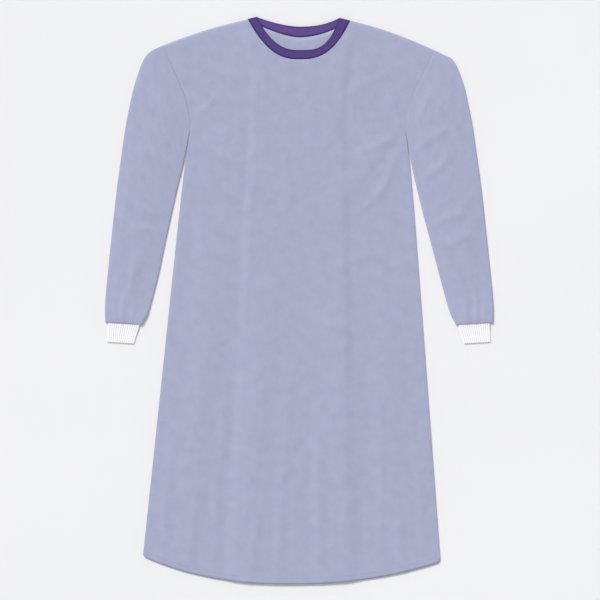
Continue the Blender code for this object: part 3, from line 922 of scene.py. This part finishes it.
# %% Sleeves
ARM_ROLL_RINGS = 0.35
FOLD_FREE_POWER = 0.7
ROUND_EDGE_STEPS = 2
SLEEVE_SHARES = np.linspace(0.0, 1.0, TOP_STEPS + 1)[ROUND_EDGE_STEPS:-ROUND_EDGE_STEPS]


def station_width(station):
    return math.hypot(station[0] - station[2], station[1] - station[3])


def half_height(index):
    """Half the height of the pressed sleeve: its wall, and half of the slit inside it."""
    opened = ease(index / LAST_STATION, SLIT_OPENS, SLIT_OPEN)
    return WALL + (SLIT + (WRIST_SLIT - SLIT) * opened) / 2.0


def sleeve_point(side, index, station, distance, height):
    """Where the points of one ring lie, round the flattened sleeve."""
    down = index / LAST_STATION
    outer_x, outer_y, inner_x, inner_y = station
    across = distance / station_width(station)
    middle = half_height(index)
    bow = max(1.0 - index / BOW_RINGS, 0.0) ** 2
    body_lean = max(1.0 - index / LEAN_RINGS, 0.0)
    loft = SLEEVE_LOFT * ease(down, 0.0, LOFT_FULL) * (1.0 - ease(down, LOFT_FADES, LOFT_GONE))
    x = inner_x + (outer_x - inner_x) * across - bow * armhole_hollow(across)
    x = x + SEAM_GAP * ease(index, 0.0, ARM_ROLL_RINGS)
    y = inner_y + (outer_y - inner_y) * across
    body_share = 1.0 - across + across * body_lean
    lean = body_share * ease(y, LEAN_ENDS_Y, LEAN_FULL_Y)
    free = np.sin(np.pi * np.clip(across, 0.0, 1.0)) ** FOLD_FREE_POWER
    on_top = np.clip(height, 0.0, 1.0)
    roll = ARM_SEAM_ROLL * (1.0 - ease(index, 0.0, ARM_ROLL_RINGS)) * height
    lift = on_top * (loft * np.sin(np.pi * across) + folds_at(x, y, SLEEVE_FOLDS[side]) * free)
    z = middle + height * middle + lift - roll
    return np.stack([*lay(side * x, y, lean), z], axis=-1)


SLEEVE_RINGS = through(SLEEVE_STATIONS, RING_STEPS)
SLEEVE_RUN = length_along((SLEEVE_RINGS[:, :2] + SLEEVE_RINGS[:, 2:]) / 2.0)


def add_sleeve(name, side):
    rings = []
    cuts = []
    for number, station in enumerate(SLEEVE_RINGS):
        index = number / RING_STEPS
        width = station_width(station)
        distance, height = flat_ring(width, half_height(index), SLEEVE_SHARES)
        rings.append(sleeve_point(side, index, station, distance, height))
        around = way_round(distance, width)
        cuts.append(np.stack([around, np.full(len(around), SLEEVE_RUN[number])], axis=-1))
    return add_cloth(name, np.array(rings), np.array(cuts), gown_cloth, True, side > 0.0)


sleeve_right = add_sleeve("gown_sleeve_right", -1.0)
sleeve_left = add_sleeve("gown_sleeve_left", 1.0)
print("sleeve cut:", round(SLEEVE_RUN[-1], 3), "m long,", round(sheet_area(sleeve_left), 3), "m2")

# %% [markdown]
# ## The cuffs
# A cuff is a knitted tube that starts inside the end of the sleeve and narrows towards the
# hand. Its fourteen ribs are real relief on both faces. A rib is round on top and meets its
# neighbour in a sharp furrow, which is what a sine with its sign taken off does. A cuff hugs
# the wrist by the spring of its ribs, so nothing is sewn at its narrow end.

# %% Cuffs
CuffRow = namedtuple("CuffRow", "centre_x centre_y width rest")
CUFF_ROWS = (
    CuffRow(0.3823, -0.0350, 0.0735, WALL + SEAM_GAP),
    CuffRow(0.3848, -0.0520, 0.0695, WALL + SEAM_GAP),
    CuffRow(0.3883, -0.0720, 0.0640, 0.4 * MM),
    CuffRow(0.3920, -0.0935, 0.0583, 0.0),
)
CUFF_TILT = math.radians(3.6)
CUFF_MIDDLE = 1.1 * MM
CUFF_TOP_LIFT = 0.3 * MM
CUFF_STEPS = 12
RIB_COLUMNS = 10
RIB_DEEP = 0.7 * MM
RIB_ROUND = 0.7
CUFF_THICK = 0.7 * MM
CUFF_EDGE_STEPS = 4
CUFF_SHARES = np.linspace(0.0, 1.0, CUFF_RIBS * RIB_COLUMNS + 1)[CUFF_EDGE_STEPS:-CUFF_EDGE_STEPS]


def add_cuff(name, side):
    rings = []
    cuts = []
    for centre_x, centre_y, width, rest in through(CUFF_ROWS, CUFF_STEPS):
        distance, height = flat_ring(width, CUFF_MIDDLE, CUFF_SHARES)
        rib = np.abs(np.sin(np.pi * CUFF_RIBS * distance / width)) ** RIB_ROUND
        furrow = RIB_DEEP * (1.0 - rib) * np.abs(height)
        offset = distance - width / 2.0
        x = centre_x + offset * math.cos(CUFF_TILT)
        y = centre_y + offset * math.sin(CUFF_TILT)
        lift = CUFF_TOP_LIFT * np.clip(height, 0.0, 1.0)
        z = rest + CUFF_MIDDLE * (1.0 + height) - np.sign(height) * furrow + lift
        rings.append(np.stack([side * x, y, z], axis=-1))
        around = way_round(distance, width) / width * CUFF_WIDTH_MM * MM
        cuts.append(np.stack([around, np.full(len(around), centre_y)], axis=-1))
    return add_cloth(name, np.array(rings), np.array(cuts), cuff_knit, True, side > 0.0, CUFF_THICK)


cuff_right = add_cuff("cuff_knit_right", -1.0)
cuff_left = add_cuff("cuff_knit_left", 1.0)
print("a cuff:", round(sheet_area(cuff_left) * 1e4), "cm2 of knit")

# %% [markdown]
# ## The neck binding
# Bias tape is folded over the raw edge of the cloth and stitched through. Its section shows
# that: it laps a little over the cloth, is plump at both edges where it is turned under, and
# rounds over at its free edge. Each point of the section is a share of the tape's own width
# from the seam, some millimetres extra, and how many millimetres up it is. The section is
# carried along the neck. Drawing tape round a curve leaves small puckers at its stitching, so
# the top ripples slightly there.

# %% Neck binding
SectionPoint = namedtuple("SectionPoint", "share extra up")
TAPE_SECTION = (
    SectionPoint(0.0, 0.35, 1.10),
    SectionPoint(0.0, -1.50, 1.22),
    SectionPoint(0.0, -1.60, 1.42),
    SectionPoint(0.0, -1.20, 1.66),
    SectionPoint(0.0, 0.20, 1.80),
    SectionPoint(0.0, 1.60, 1.76),
    SectionPoint(0.25, 0.0, 1.62),
    SectionPoint(0.50, 0.0, 1.56),
    SectionPoint(0.75, 0.0, 1.60),
    SectionPoint(1.0, -2.40, 1.70),
    SectionPoint(1.0, -1.00, 1.62),
    SectionPoint(1.0, -0.25, 1.30),
    SectionPoint(1.0, 0.0, 0.85),
    SectionPoint(1.0, -0.25, 0.35),
    SectionPoint(1.0, -1.00, 0.04),
    SectionPoint(0.50, 0.0, 0.0),
    SectionPoint(0.0, 0.60, 0.02),
)
TAPE_STEPS = 240
TAPE_TOP_UP = 1.4
TAPE_UNDERSIDE_UP = 0.8
PUCKER_MM = 0.14
PUCKER_FADE_MM = 2.5
PUCKER_PITCH = 9.0 * MM


def tape_line(seam, edge, turn):
    """Where the tape starts on its seam, which way it reaches from there and how wide it is."""
    start, end = np.array(neck_point(seam, turn)), np.array(neck_point(edge, turn))
    width = float(np.linalg.norm(end - start))
    return start, (end - start) / width, width


def pucker(reach, width, run):
    """Ripple of the top in millimetres: strongest at the two rows of stitches."""
    from_row = min(abs(reach), abs(width - reach)) / MM
    return PUCKER_MM * math.exp(-from_row / PUCKER_FADE_MM) * math.sin(2 * math.pi * run / PUCKER_PITCH)


def add_tape(name, seam, edge, rest, material):
    """The section carried along the neck as a closed strip, with a face at each end."""
    lines = [tape_line(seam, edge, turn) for turn in np.linspace(-1.0, 1.0, TAPE_STEPS + 1)]
    runs = length_along(np.array([start for start, across, width in lines]))
    rings = []
    cuts = []
    for (start, across, width), run in zip(lines, runs):
        ring = []
        cut = []
        for point in TAPE_SECTION:
            reach = point.share * width + point.extra * MM
            up = point.up
            if point.up > TAPE_TOP_UP:
                up += pucker(reach, width, run)
            x, y = start + across * reach
            ring.append((*lay(x, y), rest + up * MM))
            beneath = point.up < TAPE_UNDERSIDE_UP
            place = 2.0 - reach / width if beneath else reach / width
            cut.append((run, place * TAPE_WIDTH_MM * MM))
        rings.append(ring)
        cuts.append(cut + [(run, 2.0 * TAPE_WIDTH_MM * MM)])
    grid = np.array(rings)
    cut_grid = np.array(cuts)
    numbers = grid_numbers(grid)
    faces = quads(joined(numbers)).tolist() + [numbers[0].tolist(), numbers[-1, ::-1].tolist()]
    side_cuts = cut_grid.reshape(-1, 2)[quads(grid_numbers(cut_grid)).ravel()]
    corner_cuts = np.concatenate([side_cuts, cut_grid[0, :-1], cut_grid[-1, -2::-1]])
    return add_object(name, grid.reshape(-1, 3).tolist(), faces, corner_cuts, material)


tape_front = add_tape("binding_front", FRONT_SEAM, FRONT_EDGE, 2 * LAYER_RISE, front_tape)
tape_inner = add_tape("binding_back_right", BACK_SEAM, BACK_EDGE, LAYER_RISE, back_tape)
tape_outer = add_tape("binding_back_left", BACK_SEAM, BACK_EDGE, 0.0, back_tape)
print("front binding:", len(tape_front.data.polygons), "faces")

# %% [markdown]
# ## Stitches
# Each stitch is a short rounded rod that sinks a little into the cloth, and a row of them is
# one mesh. Real gown stitches are about 3 mm long, and the thread about 0.3 mm thick; it is
# drawn 0.5 mm thick here so that a row still shows. The hem and the sleeve ends are sewn
# 12 mm and 6 mm in, and the tape along both of its edges, in a darker purple.

# %% Stitches
STITCH_PITCH = 3.8 * MM
STITCH_LONG = 2.7 * MM
THREAD_RADIUS = 0.25 * MM
STITCH_SIDES = 5
StitchRing = namedtuple("StitchRing", "place size")
STITCH_RINGS = (
    StitchRing(-0.5, 0.45),
    StitchRing(-0.3, 1.0),
    StitchRing(0.3, 1.0),
    StitchRing(0.5, 0.45),
)


def stitch_places(path):
    """Middles and directions of the stitches that fit along a path of points."""
    run = length_along(path)
    count = int(run[-1] // STITCH_PITCH)
    middles = (np.arange(count) + 0.5) * run[-1] / count
    ends = [np.stack([np.interp(middles + shift, run, path[:, axis]) for axis in range(3)], axis=-1)
            for shift in (-STITCH_LONG / 2.0, STITCH_LONG / 2.0)]
    return (ends[0] + ends[1]) / 2.0, (ends[1] - ends[0]) / STITCH_LONG


def add_stitches(name, paths, material):
    """Every stitch of one or more rows, as one mesh."""
    points = []
    faces = []
    for path in paths:
        for middle, along in zip(*stitch_places(path)):
            side = np.array([-along[1], along[0], 0.0])
            first = len(points)
            for place, size in STITCH_RINGS:
                for corner in range(STITCH_SIDES):
                    turn = 2.0 * math.pi * corner / STITCH_SIDES
                    out = side * math.cos(turn) + np.array([0.0, 0.0, math.sin(turn)])
                    points.append(middle + along * place * STITCH_LONG + out * THREAD_RADIUS * size)
            numbers = np.arange(first, len(points)).reshape(len(STITCH_RINGS), STITCH_SIDES)
            faces += quads(joined(numbers))[:, ::-1].tolist()
            faces += [numbers[0].tolist(), numbers[-1, ::-1].tolist()]
    return add_object(name, [point.tolist() for point in points], faces, None, material)


PATH_STEPS = 400
ROW_REACH = 0.985
ROW_PLACES = np.linspace(-ROW_REACH, ROW_REACH, PATH_STEPS)
hem_path = front_point(ROW_PLACES, np.full(PATH_STEPS, HEM_CORNER_Y + HEM_TURNED))[0]
hem_stitches = add_stitches("hem_stitches", [hem_path], cloth_thread)

TAPE_ROW_UP = 1.72 * MM
TAPE_ROW_FROM_SEAM = 0.4 * MM
TAPE_ROW_FROM_EDGE = 2.2 * MM


def tape_paths(seam, edge, rest):
    """A line along the top of the tape at its seam, and one at its free edge."""
    at_seam = []
    at_edge = []
    for turn in ROW_PLACES:
        start, across, width = tape_line(seam, edge, turn)
        for path, reach in ((at_seam, TAPE_ROW_FROM_SEAM), (at_edge, width - TAPE_ROW_FROM_EDGE)):
            path.append((*lay(*(start + across * reach)), rest + TAPE_ROW_UP))
    return [np.array(at_seam), np.array(at_edge)]


tape_rows = tape_paths(FRONT_SEAM, FRONT_EDGE, 2 * LAYER_RISE)
tape_rows += tape_paths(BACK_SEAM, BACK_EDGE, LAYER_RISE)
tape_stitches = add_stitches("binding_stitches", tape_rows, tape_thread)

SLEEVE_ROW_UP = 0.2
SLEEVE_ROW_FROM = 0.04
SLEEVE_ROW_TO = 0.96


def sleeve_path(side):
    """A line across the top of the sleeve, 6 mm from its end."""
    index = LAST_STATION - SLEEVE_ROW_UP
    station = SLEEVE_RINGS[int(round(index * RING_STEPS))]
    distance = np.linspace(SLEEVE_ROW_FROM, SLEEVE_ROW_TO, PATH_STEPS) * station_width(station)
    return sleeve_point(side, index, station, distance, np.ones(PATH_STEPS))


sleeve_stitches_right = add_stitches("sleeve_stitches_right", [sleeve_path(-1.0)], cloth_thread)
sleeve_stitches_left = add_stitches("sleeve_stitches_left", [sleeve_path(1.0)], cloth_thread)
print("binding stitches:", len(tape_stitches.data.polygons), "faces")

# %% [markdown]
# ## Joining the scene to the frame
# Every piece rides the one body of the gown and stands in for its solid.

# %% Ride and replace
PIECES = {
    "front": (front, hem_stitches),
    "back_left_outer": (outer_flap,),
    "back_right_inner": (inner_flap,),
    "sleeve_right": (sleeve_right, sleeve_stitches_right),
    "sleeve_left": (sleeve_left, sleeve_stitches_left),
    "neck_binding_front": (tape_front, tape_stitches),
    "neck_binding_back_inner": (tape_inner,),
    "neck_binding_back_outer": (tape_outer,),
    "cuff_right": (cuff_right,),
    "cuff_left": (cuff_left,),
}

for node, pieces in PIECES.items():
    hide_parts(node)
    for piece in pieces:
        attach(piece, "root")


# %% Update the scene
bpy.context.view_layer.update()
